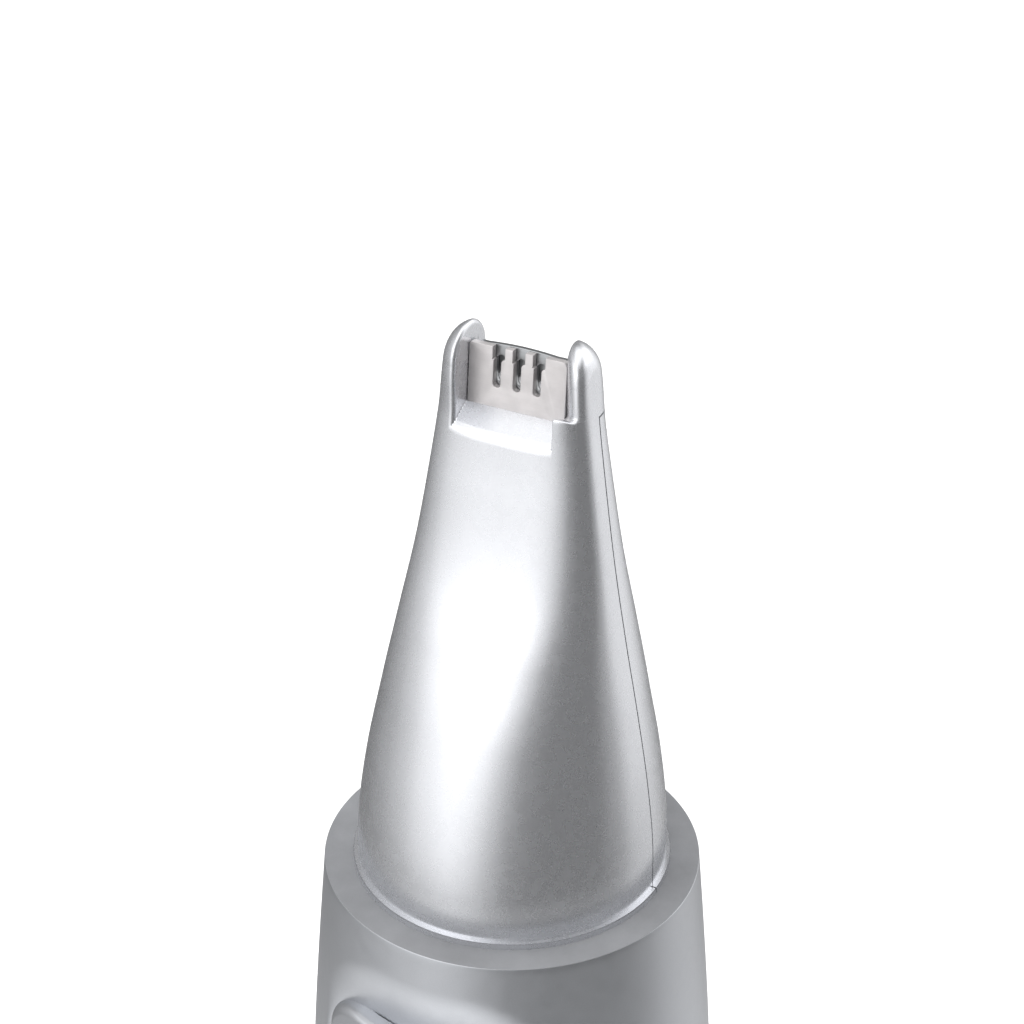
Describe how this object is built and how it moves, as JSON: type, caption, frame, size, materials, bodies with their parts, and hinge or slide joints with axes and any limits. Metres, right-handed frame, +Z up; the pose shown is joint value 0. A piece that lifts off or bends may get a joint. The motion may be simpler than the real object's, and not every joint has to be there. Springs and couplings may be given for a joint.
{
  "type": "nose hair trimmer",
  "caption": "Battery nose hair trimmer with a tapered silver head, slotted reciprocating blades between two ears, a slide switch and a pull-off battery cap.",
  "frame": {"origin": "centre of the battery cap's underside, where the trimmer stands", "axes": "+Z up along the handle to the blades, -Y towards the front with the slide switch and guard blade, +X to the right of someone who faces the front"},
  "size_m": [0.0248, 0.025, 0.1418],
  "materials": {
    "silver_lacquer": "satin silver lacquer over moulded plastic",
    "grey_lacquer": "matte grey-silver lacquer over moulded plastic",
    "blade_steel": "ground stainless steel",
    "dark_steel": "plain sheet steel",
    "black_rubber": "moulded rubber",
    "black_plastic": "moulded black plastic",
    "white_plastic": "low-friction white plastic",
    "motor_steel": "drawn zinc-plated steel",
    "bronze": "sintered bronze",
    "brass_sheet": "sheet brass",
    "copper": "commutator copper",
    "ferrite": "ferrite magnet",
    "cell_jacket": "plain printed jacket with no marks",
    "nickel": "nickel-plated steel"
  },
  "bodies": {
    "head": {"head_front_shell": "silver_lacquer", "head_rear_shell": "silver_lacquer", "head_mounting_ring": "black_plastic", "head_seal_ring": "black_rubber", "guard_blade": "blade_steel", "backing_plate": "dark_steel", "lever_pivot_pin": "dark_steel"},
    "cutter": {"cutting_blade": "dark_steel", "cutter_carrier": "white_plastic"},
    "lever": {"drive_lever": "white_plastic"},
    "handle": {"housing": "grey_lacquer", "shaft_seal": "black_rubber", "motor_frame": "black_plastic", "motor_screws": "nickel", "motor_can": "motor_steel", "motor_end_cap": "black_plastic", "motor_front_bearing": "bronze", "motor_rear_bearing": "bronze", "motor_magnets": "ferrite", "motor_brushes": "brass_sheet", "motor_terminals": "brass_sheet", "battery_holder": "black_plastic", "positive_contact": "nickel", "negative_strip": "nickel", "switch_contacts": "brass_sheet", "battery_cell": "cell_jacket", "battery_button": "nickel"},
    "rotor": {"motor_shaft": "dark_steel", "motor_rotor": "motor_steel", "commutator": "copper", "eccentric_cam": "white_plastic", "drive_pin": "dark_steel"},
    "switch": {"switch_slider": "grey_lacquer", "slider_retainer": "black_plastic", "switch_bridge": "brass_sheet"},
    "cap": {"battery_cap": "grey_lacquer", "cap_seal_ring": "black_rubber", "cap_contact_plate": "nickel", "battery_spring": "nickel"}
  },
  "joints": [
    {"name": "motor_spin", "type": "hinge", "parent": "handle", "child": "rotor", "pos_m": [0, 0, 0.08], "axis": [0, 0, 1], "continuous": true},
    {"name": "head_pull", "type": "slide", "parent": "handle", "child": "head", "axis": [0, 0, 1], "range_m": [0, 0.03]},
    {"name": "lever_swing", "type": "hinge", "parent": "head", "child": "lever", "pos_m": [0, 0, 0.124], "axis": [0, 1, 0], "range_deg": [-2.02, 2.02]},
    {"name": "cutter_slide", "type": "slide", "parent": "head", "child": "cutter", "axis": [1, 0, 0], "range_m": [-0.00035, 0.00035]},
    {"name": "switch_slide", "type": "slide", "parent": "handle", "child": "switch", "axis": [0, 0, 1], "range_m": [0, 0.0024]},
    {"name": "cap_pull", "type": "slide", "parent": "handle", "child": "cap", "axis": [0, 0, -1], "range_m": [0, 0.03]}
  ],
  "couplings": [
    {"joint": "cutter_slide", "follows": "lever_swing", "m_per_rad": 0.0098}
  ]
}
